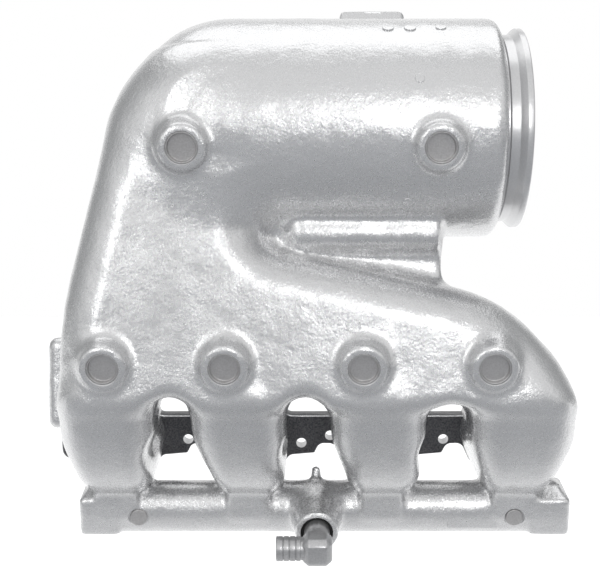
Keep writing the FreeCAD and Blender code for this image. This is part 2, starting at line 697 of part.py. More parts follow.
def plugs():
    """Every plug of the assembly, each placed flush or sunk in its own bore."""
    made = []
    sink = DIM["plug_sink"] + DIM["plug_depth"]
    names = [f"core_plug_lower_{n}" for n in range(1, 5)] + ["core_plug_upper_left", "core_plug_upper_right"]
    for name, (x, up, face) in zip(names, LOWER_BOSSES + UPPER_BOSSES):
        made.append(cup_plug(name, flange_place(x, up, face - sink)))
    drop, out = -DIM["rail_drop"], DIM["rail_out"]
    proud = 2.0
    for name, x in zip(("rail_plug_left", "rail_plug_right"), SMALL_PLUGS):
        start = out + DIM["rail_radius"] - DIM["small_plug_length"] + proud
        made.append(round_plug(name, flange_place(x, drop, start), "small_plug_radius",
                               "small_plug_length", 6.0))
    length = DIM["end_plug_length"]
    right = flange_along_x(DIM["rail_right"] - length, drop, out)
    left = flange_along_x(-DIM["rail_left"] + length, drop, out)
    left.Rotation = Rotation(Vector(0, 1, 0), -90)
    made.append(round_plug("rail_end_plug_left", left, "end_plug_radius", "end_plug_length", 10.0))
    made.append(round_plug("rail_end_plug_right", right, "end_plug_radius", "end_plug_length", 10.0))
    made.append(round_plug("sender_plug", Placement(Vector(47.5, -20, 353.5), Rotation()), "sender_radius",
                           "end_plug_length", 8.0))
    return made


def check(nodes):
    for item in doc.Objects:
        if "Invalid" in item.State or "Error" in item.State:
            raise RuntimeError(f"{item.Name} is {item.State}")
    for node in nodes:
        shape = node.Shape
        if shape.isNull() or not shape.isValid() or len(shape.Solids) != 1:
            raise RuntimeError(f"{node.Label}: null, invalid or {len(shape.Solids)} solids")
        print(f"{node.Label:24s} {shape.Volume / 1000:9.2f} cm3")


make_sheet()
nodes = [manifold_casting(), inlet_elbow(), o_ring()] + plugs()
doc.recompute()
check(nodes)
os.makedirs("parts", exist_ok=True)
for node in nodes:
    node.Shape.exportStep(f"parts/{node.Label}.step")
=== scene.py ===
import json
import math

import bmesh
import bpy
import numpy as np
from mathutils import Matrix, Vector


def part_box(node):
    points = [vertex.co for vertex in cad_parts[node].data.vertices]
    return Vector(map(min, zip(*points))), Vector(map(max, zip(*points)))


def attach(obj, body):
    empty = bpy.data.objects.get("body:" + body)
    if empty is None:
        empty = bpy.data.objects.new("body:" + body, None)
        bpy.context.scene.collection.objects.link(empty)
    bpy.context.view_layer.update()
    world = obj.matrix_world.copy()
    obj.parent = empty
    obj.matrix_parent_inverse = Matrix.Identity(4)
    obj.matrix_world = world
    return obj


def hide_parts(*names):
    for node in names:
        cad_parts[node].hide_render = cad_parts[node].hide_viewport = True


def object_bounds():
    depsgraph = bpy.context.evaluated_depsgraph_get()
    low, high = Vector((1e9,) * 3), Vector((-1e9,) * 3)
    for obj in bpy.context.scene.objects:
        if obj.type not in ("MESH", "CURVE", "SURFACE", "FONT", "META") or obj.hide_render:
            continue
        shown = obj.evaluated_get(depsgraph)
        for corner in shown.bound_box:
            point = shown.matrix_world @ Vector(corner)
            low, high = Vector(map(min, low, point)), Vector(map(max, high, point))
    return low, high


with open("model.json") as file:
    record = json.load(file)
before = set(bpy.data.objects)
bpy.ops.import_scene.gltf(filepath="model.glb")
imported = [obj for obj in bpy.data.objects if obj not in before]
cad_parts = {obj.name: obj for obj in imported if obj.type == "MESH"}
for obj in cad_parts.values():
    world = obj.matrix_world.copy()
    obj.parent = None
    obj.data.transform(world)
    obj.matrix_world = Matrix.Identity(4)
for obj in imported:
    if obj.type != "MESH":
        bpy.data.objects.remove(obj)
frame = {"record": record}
cad_low, cad_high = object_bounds()

# The row's frame is in metres; the shapes below are worked out in millimetres.
MM = 0.001
MOUNTS = {mount["name"]: mount for mount in frame["record"]["mounts"]}


def mount_place(name):
    return np.array(MOUNTS[name]["pos_m"]) / MM


def centre_of(node):
    low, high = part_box(node)
    return np.array((low + high) / 2) / MM


# ---------------------------------------------------------------- the flange frame
# X stays X, "up" runs up the head flange's mating face, "out" points out of the head.
TO_HEAD = np.array(MOUNTS["head_flange_face"]["axis"])
LEAN = math.atan2(TO_HEAD[2], TO_HEAD[1])
OUT = -TO_HEAD
UP = np.array([0.0, -math.sin(LEAN), math.cos(LEAN)])


def flange_point(x, up, out):
    """A point of the flange frame, in the row's frame."""
    return np.array([x, 0.0, 0.0]) + up * UP + out * OUT


def up_out(point):
    """How far up the flange and out from the head a point lies."""
    return float(point @ UP), float(point @ OUT)


def flange_matrix(x, up, out):
    """Local Z along out, local Y up the flange."""
    turn = Matrix(((1, 0, 0), tuple(UP), tuple(OUT))).transposed()
    return Matrix.Translation(Vector(flange_point(x, up, out))) @ turn.to_4x4()


def along_x_matrix(point, sign=1):
    """Local Z along +X or -X."""
    return Matrix.Translation(Vector(point)) @ Matrix.Rotation(math.radians(90 * sign), 4, "Y")


# ---------------------------------------------------------------- sizes, in millimetres
PORT_PITCH = 111.76
PORTS = [(i - 1.5) * PORT_PITCH for i in range(4)]
PORT_RADIUS = 20.5
FLANGE_THICK = 12.0
BOLTS = [(-210.93, 3.5), (-111.76, 0.0), (-12.58, -3.5), (12.58, 3.5), (111.76, 0.0), (210.93, -3.5)]
BOLT_RADIUS = 4.5
SPOT_FACE_DEPTH = 0.4

LOG_FRONT, LOG_BACK = -123.0, -30.0
LOG_MIDDLE = (LOG_FRONT + LOG_BACK) / 2
LOG_ROUND, LOG_BACK_ROUND = 36.0, 26.0
RUNNER_LEAD, RUNNER_BEND = 28.6, 38.0
RUNNER_SHIFTS = (-3.0, -8.0, -5.5, 0.0)
RUNNER_SPREADS = (0.0, 0.0, 0.0, 4.0)

RIM = mount_place("outlet_rim")
BARREL_Y, BARREL_Z = RIM[1], RIM[2]
BARREL_RADIUS = 91.0
DOME_X = -70.0
BARREL_END = 149.0
NECK_RADIUS = 78.0
RIM_RADIUS = MOUNTS["outlet_rim"]["dims"]["r_mm"]
OUTLET_X = mount_place("outlet_face")[0]
CHAMBER_RADIUS = 66.0
WATER_WAYS = 8
WATER_WAY_RADIUS = 3.5
WATER_WAY_CIRCLE = 73.5

RAIL_UP, RAIL_OUT = up_out(centre_of("rail_end_plug_left"))
RAIL_RADIUS = 22.0
RAIL_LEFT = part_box("rail_end_plug_left")[0].x / MM
RAIL_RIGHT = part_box("rail_end_plug_right")[1].x / MM
INLET_FACE_OUT = 94.8
COUNTERBORE_RADIUS, COUNTERBORE_DEPTH = 13.5, 6.0
ELBOW_OUT = 121.3
ELBOW_WAY_RADIUS = 6.0
SHOULDER_RADIUS = 10.7
TAIL_RADIUS, TAIL_END = 9.9, 33.0
TAIL_GROOVES = (16.5, 21.5, 26.5)

LOWER_PLUGS = [f"core_plug_lower_{n}" for n in range(1, 5)]
UPPER_PLUGS = ["core_plug_upper_left", "core_plug_upper_right"]
PLUG_RADIUS = 12.7
PLUG_DEPTH = 8.0
PLUG_SINK = 1.0
BOSS_FACE_RADIUS = 18.4
BOSS_BASE_RADIUS = 22.5
RAIL_PLUG_RADIUS, RAIL_PLUG_SEAT_RADIUS, RAIL_PLUG_PROUD = 7.4, 8.6, 1.4
END_PLUG_RADIUS, END_PLUG_SOCKET = 10.5, 10.0
SENDER_RADIUS, SENDER_SOCKET = 9.0, 8.0


# ---------------------------------------------------------------- signed distance modelling
def smooth_low(a, b, blend):
    """Smaller of two distances, rounded where they are within blend of each other."""
    if blend <= 0:
        return np.minimum(a, b)
    share = np.maximum(blend - np.abs(a - b), 0) / blend
    return np.minimum(a, b) - share * share * blend / 4


class Clay:
    """Signed distance on a regular grid, in millimetres, negative inside the metal."""

    def __init__(self, low, high, step):
        self.low = np.array(low, float)
        self.step = step
        counts = np.ceil((np.array(high) - self.low) / step).astype(int) + 1
        self.axes = [self.low[i] + step * np.arange(counts[i]) for i in range(3)]
        self.field = np.full(counts, 60.0, np.float32)

    def window(self, low, high, margin):
        cuts = []
        for axis, start, end in zip(self.axes, low, high):
            first = max(int(np.searchsorted(axis, start - margin)) - 1, 0)
            last = min(int(np.searchsorted(axis, end + margin)) + 1, len(axis))
            cuts.append(slice(first, last))
        x, y, z = (axis[cut].astype(np.float32) for axis, cut in zip(self.axes, cuts))
        return tuple(cuts), x[:, None, None], y[None, :, None], z[None, None, :]

    def add(self, distance, low, high, blend=0.0):
        cuts, x, y, z = self.window(low, high, blend + 3 * self.step)
        self.field[cuts] = smooth_low(self.field[cuts], distance(x, y, z), blend)

    def take(self, distance, low, high, blend=0.0):
        cuts, x, y, z = self.window(low, high, blend + 3 * self.step)
        self.field[cuts] = -smooth_low(-self.field[cuts], distance(x, y, z), blend)


def length(*parts):
    return np.sqrt(sum(part * part for part in parts))


def rounded_pair(a, b, radius):
    """Inside both a and b, with their common edge rounded."""
    a, b = a + radius, b + radius
    return np.minimum(np.maximum(a, b), 0) + length(np.maximum(a, 0), np.maximum(b, 0)) - radius


def bar(start, end, radius, end_radius=None):
    """Round-ended bar, or a taper between two radii."""
    start, end = np.array(start, float), np.array(end, float)
    along = end - start
    total = float(along @ along)
    taper = radius if end_radius is None else end_radius

    def distance(x, y, z):
        px, py, pz = x - start[0], y - start[1], z - start[2]
        share = np.clip((px * along[0] + py * along[1] + pz * along[2]) / total, 0, 1)
        return length(px - share * along[0], py - share * along[1], pz - share * along[2]) - (
            radius + (taper - radius) * share)

    reach = max(radius, taper)
    return distance, np.minimum(start, end) - reach, np.maximum(start, end) + reach


def rod(start, end, radius, end_radius=None, rounding=2.0):
    """Flat-ended rod or cone frustum with rounded edges."""
    start, end = np.array(start, float), np.array(end, float)
    size = float(np.linalg.norm(end - start))
    along = (end - start) / size
    taper = radius if end_radius is None else end_radius

    def distance(x, y, z):
        px, py, pz = x - start[0], y - start[1], z - start[2]
        run = px * along[0] + py * along[1] + pz * along[2]
        aside = length(px - run * along[0], py - run * along[1], pz - run * along[2])
        share = np.clip(run / size, 0, 1)
        side = aside - (radius + (taper - radius) * share)
        return rounded_pair(side, np.abs(run - size / 2) - size / 2, rounding)

    reach = max(radius, taper)
    return distance, np.minimum(start, end) - reach, np.maximum(start, end) + reach


def bolster(start, end, radius, rounding):
    """Rod along X with a half-ball at its start and a flat, rounded end."""
    ball, ball_low, ball_high = bar(start, np.array(start, float) + [1, 0, 0], radius)
    inside_ball = np.array(start, float) - [3 * rounding, 0, 0]
    body, body_low, body_high = rod(inside_ball, end, radius, rounding=rounding)

    def distance(x, y, z):
        return np.where(x < start[0], ball(x, y, z), body(x, y, z))

    return distance, np.minimum(ball_low, body_low), np.maximum(ball_high, body_high)


def block(centre, half, rounding, axes=None):
    """Box with rounded edges. axes are its three directions, the row's own when left out."""
    centre = np.array(centre, float)
    axes = np.eye(3) if axes is None else np.array(axes, float)

    def distance(x, y, z):
        px, py, pz = x - centre[0], y - centre[1], z - centre[2]
        q = [np.abs(px * a[0] + py * a[1] + pz * a[2]) - h + rounding for a, h in zip(axes, half)]
        outside = length(*(np.maximum(part, 0) for part in q))
        return np.minimum(np.maximum(np.maximum(q[0], q[1]), q[2]), 0) + outside - rounding

    reach = np.abs(axes).T @ np.array(half, float)
    return distance, centre - reach, centre + reach


def outline_points(corners, arc_step=math.radians(4)):
    """Corners (x, z, radius) as a closed polygon with every corner rounded."""
    points = []
    for i, (x, z, radius) in enumerate(corners):
        corner = np.array([x, z], float)
        back = np.array(corners[i - 1][:2]) - corner
        ahead = np.array(corners[(i + 1) % len(corners)][:2]) - corner
        back, ahead = back / np.linalg.norm(back), ahead / np.linalg.norm(ahead)
        if radius == 0:
            points.append(corner)
            continue
        half_gap = math.acos(float(np.clip(back @ ahead, -1, 1))) / 2
        centre = corner + (back + ahead) / np.linalg.norm(back + ahead) * radius / math.sin(half_gap)
        start = corner + back * radius / math.tan(half_gap) - centre
        end = corner + ahead * radius / math.tan(half_gap) - centre
        turn = math.pi - 2 * half_gap
        steps = max(int(turn / arc_step), 1)
        for k in range(steps + 1):
            share = k / steps
            mixed = (math.sin((1 - share) * turn) * start + math.sin(share * turn) * end) / math.sin(turn)
            points.append(centre + mixed)
    return np.array(points)


def outline_distance(points, x, z):
    """Signed distance from a grid of X and Z to a closed polygon."""
    best = np.full(np.broadcast(x, z).shape, 1e9, np.float32)
    inside = np.zeros(best.shape, bool)
    for a, b in zip(points, np.roll(points, -1, axis=0)):
        edge = b - a
        share = np.clip(((x - a[0]) * edge[0] + (z - a[1]) * edge[1]) / max(float(edge @ edge), 1e-9), 0, 1)
        gap = (x - a[0] - share * edge[0]) ** 2 + (z - a[1] - share * edge[1]) ** 2
        best = np.minimum(best, gap)
        if a[1] != b[1]:
            crosses = (z >= min(a[1], b[1])) & (z < max(a[1], b[1]))
            inside ^= crosses & (x < a[0] + (z - a[1]) * edge[0] / edge[1])
    return np.where(inside, -np.sqrt(best), np.sqrt(best))


def slab(corners, front, back, front_round, back_round):
    """Upright plate of that outline between Y = front and Y = back, its edges rounded."""
    points = outline_points(corners)
    middle, half = (front + back) / 2, (back - front) / 2

    def distance(x, y, z):
        side = outline_distance(points, x[:, 0, 0][:, None], z[0, 0, :][None, :])[:, None, :]
        face = np.abs(y - middle) - half
        ahead, behind = rounded_pair(side, face, front_round), rounded_pair(side, face, back_round)
        return np.where(y < middle, ahead, behind)

    low, high = points.min(0), points.max(0)
    return distance, (low[0], front, low[1]), (high[0], back, high[1])


def soft_step(low, high, value):
    share = np.clip((value - low) / (high - low), 0, 1)
    return share * share * (3 - 2 * share)


# ---------------------------------------------------------------- the casting's soft shape
LOG_OUTLINE = [
    (-209.5, -60.0, 20.0),
    (-208.5, 104.0, 300.0),
    (-151.0, 336.0, 80.0),
    (-50.0, 306.0, 30.0),
    (-52.0, 165.0, 30.0),
    (210.5, 109.4, 128.0),
    (210.5, -60.0, 20.0),
]
LOG_FOOT = 31.0
WEB_AHEAD = 72.0
ARCHES = [(-118.0, 27.0), (-10.0, 27.0), (107.0, 20.0)]
ARCH_RADIUS = 15.0


def runner(port, shift, spread):
    """Rounded duct out of a port, round and up into the log.

    It leans along X by shift, and is wider by spread at the top.
    """
    lead = RUNNER_LEAD * OUT[1:]
    bend_centre = lead + RUNNER_BEND * UP[1:]
    leg_y = bend_centre[0] - RUNNER_BEND
    lean = math.pi / 2 + LEAN

    def distance(x, y, z):
        on_lead = np.clip(y * OUT[1] + z * OUT[2], -20, RUNNER_LEAD)
        to_lead = length(y - on_lead * OUT[1], z - on_lead * OUT[2])
        cy, cz = y - bend_centre[0], z - bend_centre[1]
        angle = np.arctan2(-(cy * OUT[1] + cz * OUT[2]), -(cy * UP[1] + cz * UP[2]))
        turned = (angle < 0) & (angle > -lean)
        to_bend = np.where(turned, np.abs(length(cy, cz) - RUNNER_BEND), 1e3)
        to_leg = length(y - leg_y, np.minimum(z - bend_centre[1], 0) + np.maximum(z - 40, 0))
        off_path = np.minimum(np.minimum(to_lead, to_bend), to_leg)
        high = soft_step(-10.0, 55.0, z)
        half = 33.0 + 11.5 * high + 3.0 * soft_step(-30, -60, y) * (1 - high)
        width = 30.0 + (8.5 + spread) * soft_step(-36.0, 10.0, z) - 15.0 * soft_step(28.0, 80.0, z)
        edge = 17.0 + 12.0 * soft_step(-32.0, 10.0, z)
        aside = np.abs(x - port - shift * soft_step(-40.0, 20.0, z)) - width
        return rounded_pair(aside, off_path - half, edge)

    return distance, (port - 52, -126, -60), (port + 52, 12, 110)


def shape_casting():
    """Fill a grid with the distance to the raw casting, before any machining."""
    clay = Clay((-238, -158, -96), (232, 50, 368), 2.5)
    clay.add(*slab(LOG_OUTLINE, LOG_FRONT, LOG_BACK, LOG_ROUND, LOG_BACK_ROUND))
    clay.take(*block((0, -76, LOG_FOOT - 60), (240, 80, 60), 0), blend=14)
    for x, z in ARCHES:
        clay.take(*bar((x, -150, z), (x, 0, z), ARCH_RADIUS), blend=14)
    for port, shift, spread in zip(PORTS, RUNNER_SHIFTS, RUNNER_SPREADS):
        clay.add(*runner(port, shift, spread), blend=12)
    dome, barrel_end = (DOME_X, BARREL_Y, BARREL_Z), (BARREL_END, BARREL_Y, BARREL_Z)
    clay.add(*bolster(dome, barrel_end, BARREL_RADIUS, 9), blend=30)
    # Web between barrel and log, and its half-round rib.
    clay.add(*block((22, -WEB_AHEAD, 152), (80, 11.5, 48), 4), blend=12)
    clay.add(*bolster((-11, -86, 174), (99, -86, 174), 13.5, 3), blend=10)
    # Hollows in the lower right side of the runners, clear of the sockets.
    for port in PORTS[:3]:
        clay.take(*bar((port + 45, -128, -13), (port + 46, -54, -4), 17), blend=9)
    # Water rail with its end blocks, stubs and inlet boss.
    rail_left = flange_point(RAIL_LEFT, RAIL_UP, RAIL_OUT)
    rail_right = flange_point(RAIL_RIGHT, RAIL_UP, RAIL_OUT)
    clay.add(*rod(rail_left + [6, 0, 0], rail_right - [6, 0, 0], RAIL_RADIUS), blend=4)
    tilted = ((1, 0, 0), UP, OUT)
    for x in (RAIL_LEFT + 17, RAIL_RIGHT - 17):
        clay.add(*block(flange_point(x, RAIL_UP, RAIL_OUT), (17, 17, 23.5), 4, tilted), blend=6)
    for port in PORTS:
        stub = flange_point(port - 1, RAIL_UP + 13, RAIL_OUT + 6)
        clay.add(*block(stub, (18, 17, 17.5), 5, tilted), blend=4)
    inlet = flange_point(0, RAIL_UP, RAIL_OUT)
    clay.add(*rod(inlet, inlet + (INLET_FACE_OUT - RAIL_OUT) * OUT, 23, 17.6, rounding=2.5), blend=10)
    nub_top = flange_point(0, RAIL_UP + 30, RAIL_OUT - 6)
    clay.add(*bar(flange_point(0, RAIL_UP + 4, RAIL_OUT), nub_top, 4), blend=5)
    # Bosses for the core plugs.
    for node in LOWER_PLUGS + UPPER_PLUGS:
        up, out = up_out(centre_of(node))
        face = out + PLUG_DEPTH / 2 + PLUG_SINK
        x = centre_of(node)[0]
        clay.add(*rod(flange_point(x, up, face - 26), flange_point(x, up, face),
                      BOSS_BASE_RADIUS + 3, BOSS_FACE_RADIUS, rounding=2.2), blend=6)
    # Pads behind the crest and behind the left edge.
    pad_low, pad_top = 320.0, mount_place("sensor_pad")[2]
    clay.add(*block((47.5, -20, (pad_low + pad_top) / 2), (27.5, 22, (pad_top - pad_low) / 2), 4), blend=8)
    clay.add(*block((-206, -29.5, 48.5), (22, 16.5, 38.5), 7), blend=8)
    return clay


def rough_cast(clay, depth=0.12):
    """Slow waves of the sand mould, as a sum of plane waves spread evenly over the directions."""
    waves, golden_angle = 14, 2.399
    x, y, z = (axis.astype(np.float32) for axis in clay.axes)
    for k in range(waves):
        angle, tilt = golden_angle * k, math.asin(-0.95 + 1.9 * k / (waves - 1))
        size = 2 * math.pi / (14.0 + 3.1 * (k % 7))
        level = size * math.cos(tilt)
        wave = (level * math.cos(angle), level * math.sin(angle), size * math.sin(tilt))
        phase = x[:, None, None] * wave[0] + y[None, :, None] * wave[1] + z[None, None, :] * wave[2] + 1.7 * k
        clay.field += np.sin(phase).astype(np.float32) * (depth / math.sqrt(waves))


def sample(clay, points):
    """Field and gradient at points, by trilinear interpolation."""
    place = (points - clay.low) / clay.step
    cell = np.clip(np.floor(place).astype(int), 0, np.array(clay.field.shape) - 2)
    f = place - cell
    corner = {}
    for i in (0, 1):
        for j in (0, 1):
            for k in (0, 1):
                corner[i, j, k] = clay.field[cell[:, 0] + i, cell[:, 1] + j, cell[:, 2] + k]
    fx, fy, fz = f.T
    c00, c10 = (corner[0, j, 0] * (1 - fx) + corner[1, j, 0] * fx for j in (0, 1))
    c01, c11 = (corner[0, j, 1] * (1 - fx) + corner[1, j, 1] * fx for j in (0, 1))
    low, high = c00 * (1 - fy) + c10 * fy, c01 * (1 - fy) + c11 * fy
    value = low * (1 - fz) + high * fz
    gx = sum((corner[1, j, k] - corner[0, j, k]) * (fy if j else 1 - fy) * (fz if k else 1 - fz)
             for j in (0, 1) for k in (0, 1))
    gy = (c10 - c00) * (1 - fz) + (c11 - c01) * fz
    return value, np.stack([gx, gy, high - low], 1) / clay.step


def skin(clay):
    """Quads round the zero surface: one point per crossed cell, one quad per crossed grid line."""
    inside = clay.field < 0
    counts = np.array(clay.field.shape)
    number = np.full(counts - 1, -1, np.int64)
    corners = sum(inside[i:counts[0] - 1 + i, j:counts[1] - 1 + j, k:counts[2] - 1 + k].astype(np.int8)
                  for i in (0, 1) for j in (0, 1) for k in (0, 1))
    cells = np.argwhere((corners > 0) & (corners < 8))
    number[tuple(cells.T)] = np.arange(len(cells))
    total, hits = np.zeros((len(cells), 3)), np.zeros(len(cells))
    for axis in range(3):
        others = [a for a in range(3) if a != axis]
        for shift in ((0, 0), (0, 1), (1, 0), (1, 1)):
            start = cells.copy()
            start[:, others[0]] += shift[0]
            start[:, others[1]] += shift[1]
            end = start.copy()
            end[:, axis] += 1
            a, b = clay.field[tuple(start.T)], clay.field[tuple(end.T)]
            crossed = (a < 0) != (b < 0)
            share = np.where(crossed, a / np.where(crossed, a - b, 1), 0)
            spot = start.astype(float)
            spot[:, axis] += share
            total += np.where(crossed[:, None], spot, 0)
            hits += crossed
    points = clay.low + clay.step * total / hits[:, None]
    quads = []
    for axis in range(3):
        u, v = (axis + 1) % 3, (axis + 2) % 3
        first = np.take(inside, range(counts[axis] - 1), axis)
        second = np.take(inside, range(1, counts[axis]), axis)
        for flip in (False, True):
            edges = np.argwhere((first & ~second) if not flip else (~first & second))
            edges = edges[(edges[:, u] > 0) & (edges[:, v] > 0)]
            ring = []
            for du, dv in ((1, 1), (0, 1), (0, 0), (1, 0)):
                cell = edges.copy()
                cell[:, u] -= du
                cell[:, v] -= dv
                ring.append(number[tuple(cell.T)])
            quads.append(np.stack(ring if not flip else ring[::-1], 1))
    quads = np.vstack(quads)
    for _ in range(3):
        total = np.zeros_like(points)
        count = np.zeros(len(points))
        for a, b in ((0, 1), (1, 2), (2, 3), (3, 0)):
            np.add.at(total, quads[:, a], points[quads[:, b]])
            np.add.at(count, quads[:, a], 1)
        points = 0.5 * points + 0.5 * total / count[:, None]
        value, slope = sample(clay, points)
        points -= slope * (value / np.maximum((slope ** 2).sum(1), 0.05))[:, None]
    return points, quads


# ---------------------------------------------------------------- gas and water spaces
def hollow_casting(clay):
    """Bore the gas way from each port through log and trunk into the barrel."""
    for port in PORTS:
        mouth, turn = flange_point(port, 0, -8), flange_point(port, 0, RUNNER_LEAD - 4)
        low, high = flange_point(port, 12, RUNNER_LEAD + 28), np.array([port, LOG_MIDDLE, 70.0])
        clay.take(*bar(mouth, turn, PORT_RADIUS - 0.6), blend=2)
        clay.take(*bar(turn, low, PORT_RADIUS), blend=6)
        clay.take(*bar(low, high, PORT_RADIUS), blend=6)
    corner, top = (-160, LOG_MIDDLE, 78), (-112, LOG_MIDDLE + 8, 262)
    clay.take(*bar(corner, (146, LOG_MIDDLE, 68), 24), blend=8)
    clay.take(*bar(corner, top, 28), blend=8)
    clay.take(*bar(top, (DOME_X, BARREL_Y, BARREL_Z), 28, 50), blend=10)
    clay.take(*rod((DOME_X - 10, BARREL_Y, BARREL_Z), (BARREL_END - 20, BARREL_Y, BARREL_Z), CHAMBER_RADIUS,
                   rounding=20), blend=6)


# ---------------------------------------------------------------- meshes
def new_object(name, points, faces, material=0):
    """Mesh from millimetre points. Every face takes the same material number."""
    mesh = bpy.data.meshes.new(name)
    places = (np.asarray(points, float) * MM).tolist()
    mesh.from_pydata(places, [], [tuple(int(i) for i in face) for face in faces])
    for _ in range(3):
        mesh.materials.append(None)
    mesh.polygons.foreach_set("material_index", [material] * len(mesh.polygons))
    mesh.update()
    made = bpy.data.objects.new(name, mesh)
    bpy.context.scene.collection.objects.link(made)
    return made


def place_points(points, matrix):
    matrix = np.array(matrix)
    return np.asarray(points, float) @ matrix[:3, :3].T + matrix[:3, 3]


def lathe(name, corners, matrix, steps=72, material=0):
    """Solid turned round local Z from a closed loop of (radius, height, rounding) corners."""
    outline = outline_points(corners, math.radians(15))
    points, rings = [], []
    for radius, height in outline:
        if radius < 1e-6:
            rings.append([len(points)] * steps)
            points.append((0.0, 0.0, height))
            continue
        rings.append(list(range(len(points), len(points) + steps)))
        for k in range(steps):
            angle = 2 * math.pi * k / steps
            points.append((radius * math.cos(angle), radius * math.sin(angle), height))
    faces = []
    for here, ahead in zip(rings, rings[1:] + rings[:1]):
        for k in range(steps):
            after = (k + 1) % steps
            loop = [here[k], here[after], ahead[after], ahead[k]]
            face = [v for i, v in enumerate(loop) if v != loop[i - 1]]
            if len(set(face)) > 2:
                faces.append(face)
    made = new_object(name, place_points(points, matrix), faces, material)
    face_out(made)
    return made


def face_out(target):
    """Turn every face of a closed mesh outwards."""
    shape = bmesh.new()
    shape.from_mesh(target.data)
    bmesh.ops.recalc_face_normals(shape, faces=shape.faces)
    shape.to_mesh(target.data)
    shape.free()


def prism(name, outline, low, high, matrix, material=0):
    """Closed outline of local (x, y) points, raised from low to high along local Z."""
    count = len(outline)
    points = [(x, y, level) for level in (low, high) for x, y in outline]
    faces = [tuple(range(count)), tuple(range(count, 2 * count))]
    faces += [(k, (k + 1) % count, count + (k + 1) % count, count + k) for k in range(count)]
    made = new_object(name, place_points(points, matrix), faces, material)
    face_out(made)
    return made


def bevel(target, width, angle=30, segments=2):
    """Round the edges sharper than angle."""
    shape = bmesh.new()
    shape.from_mesh(target.data)
    sharp = [e for e in shape.edges if e.calc_face_angle(0) > math.radians(angle)]
    bmesh.ops.bevel(shape, geom=sharp, offset=width * MM, segments=segments, profile=0.5, affect="EDGES",
                    clamp_overlap=True)
    shape.to_mesh(target.data)
    shape.free()


def combine(target, tools, operation):
    """Boolean of target with each tool in turn. The tools are used up."""
    for tool in tools:
        before = len(target.data.vertices)
        for solver in ("MANIFOLD", "EXACT"):
            step = target.modifiers.new("combine", "BOOLEAN")
            step.operation = operation
            step.solver = solver
            step.object = tool
            shown = target.evaluated_get(bpy.context.evaluated_depsgraph_get())
            made = bpy.data.meshes.new_from_object(shown)
            target.modifiers.clear()
            if len(made.vertices) not in (0, before):
                break
        else:
            print("boolean left the mesh as it was:", target.name, tool.name)
        target.data = made
        bpy.data.objects.remove(tool)


def gather(name, parts):
    """Join separate meshes into one object."""
    points, faces, materials = [], [], []
    for part in parts:
        start = len(points)
        points += [v.co / MM for v in part.data.vertices]
        faces += [tuple(start + i for i in face.vertices) for face in part.data.polygons]
        materials += [face.material_index for face in part.data.polygons]
        bpy.data.objects.remove(part)
    joined = new_object(name, points, faces)
    joined.data.polygons.foreach_set("material_index", materials)
    return joined


def shade(target, angle=35):
    target.data.polygons.foreach_set("use_smooth", [True] * len(target.data.polygons))
    target.data.set_sharp_from_angle(angle=math.radians(angle))
    target.data.update()


def drill(name, matrix, radius, start, end, steps=48, material=1):
    """Round tool along local Z."""
    corners = [(0, start, 0), (radius, start, 0), (radius, end, 0), (0, end, 0)]
    return lathe(name, corners, matrix, steps, material)


# ---------------------------------------------------------------- the finished casting
def flange_outline():
    """Outline of the head flange: round pads at the ports, lower bridges with a scallop between them."""
    half, pad, low, high = 223.0, 30.0, -13.0, 22.0
    corners = [(-half, low - 6, 9)]
    for number, port in enumerate(PORTS):
        corners += [(port - 33, low - 6, 6), (port - 24, -pad, 12)]
        corners += [(port + 24, -pad, 12), (port + 33, low - 2, 6)]
        if number < 3:
            middle = port + PORT_PITCH / 2
            corners += [(middle - 1, low, 2), (middle + 3, low + 9, 7)]
            corners += [(middle + 16, low + 9, 7), (middle + 20, low, 2)]
    corners += [(half, low - 6, 9), (half, high, 9)]
    for port in reversed(PORTS):
        corners += [(port + 33, high, 8), (port + 24, pad, 12), (port - 24, pad, 12), (port - 33, high, 8)]
    corners.append((-half, high, 9))
    return outline_points(corners, math.radians(12))


def barrel_matrix(x, rise):
    """On the barrel's skin at an angle above its front, local Z outwards."""
    angle = math.radians(rise)
    out = Vector((0, -math.cos(angle), math.sin(angle)))
    side = Vector((1, 0, 0))
    turn = Matrix((side, out.cross(side), out)).transposed().to_4x4()
    return Matrix.Translation(Vector((x, BARREL_Y, BARREL_Z)) + BARREL_RADIUS * out) @ turn


def cast_marks():
    """Ejector pips on the barrel, pattern rings on the front, and a blank plate on the rail."""
    marks = []
    for x, rise, radius, height in ((56.6, 54, 5.2, 1.1), (74.3, 54, 5.4, 1.1), (99.1, 55, 5.0, 1.0),
                                    (72.0, -47, 5.2, 0.7), (79.0, 18, 4.4, 0.5)):
        corners = [(0, -4, 0), (radius, -4, 0), (radius - 0.6, height, 0.5), (0, height, 0)]
        marks.append(lathe(f"pip_{x:.0f}", corners, barrel_matrix(x, rise), 32))
    front = Matrix.Rotation(math.radians(90), 4, "X")
    for x, z in ((-109.5, 100.6), (28.5, 99.9)):
        marks.append(lathe(f"ring_{x:.0f}", [(4.6, -4, 0), (5.9, -4, 0), (5.7, 0.9, 0.3), (4.8, 0.9, 0.3)],
                           Matrix.Translation(Vector((x, LOG_FRONT, z))) @ front, 36))
    plate = prism("plate", [(-21, -4.5), (21, -4.5), (21, 4.5), (-21, 4.5)], -4, 0.8,
                  flange_matrix(132, RAIL_UP - 5.5, RAIL_OUT + RAIL_RADIUS - 0.9))
    bevel(plate, 0.5, angle=50)
    return marks + [plate]


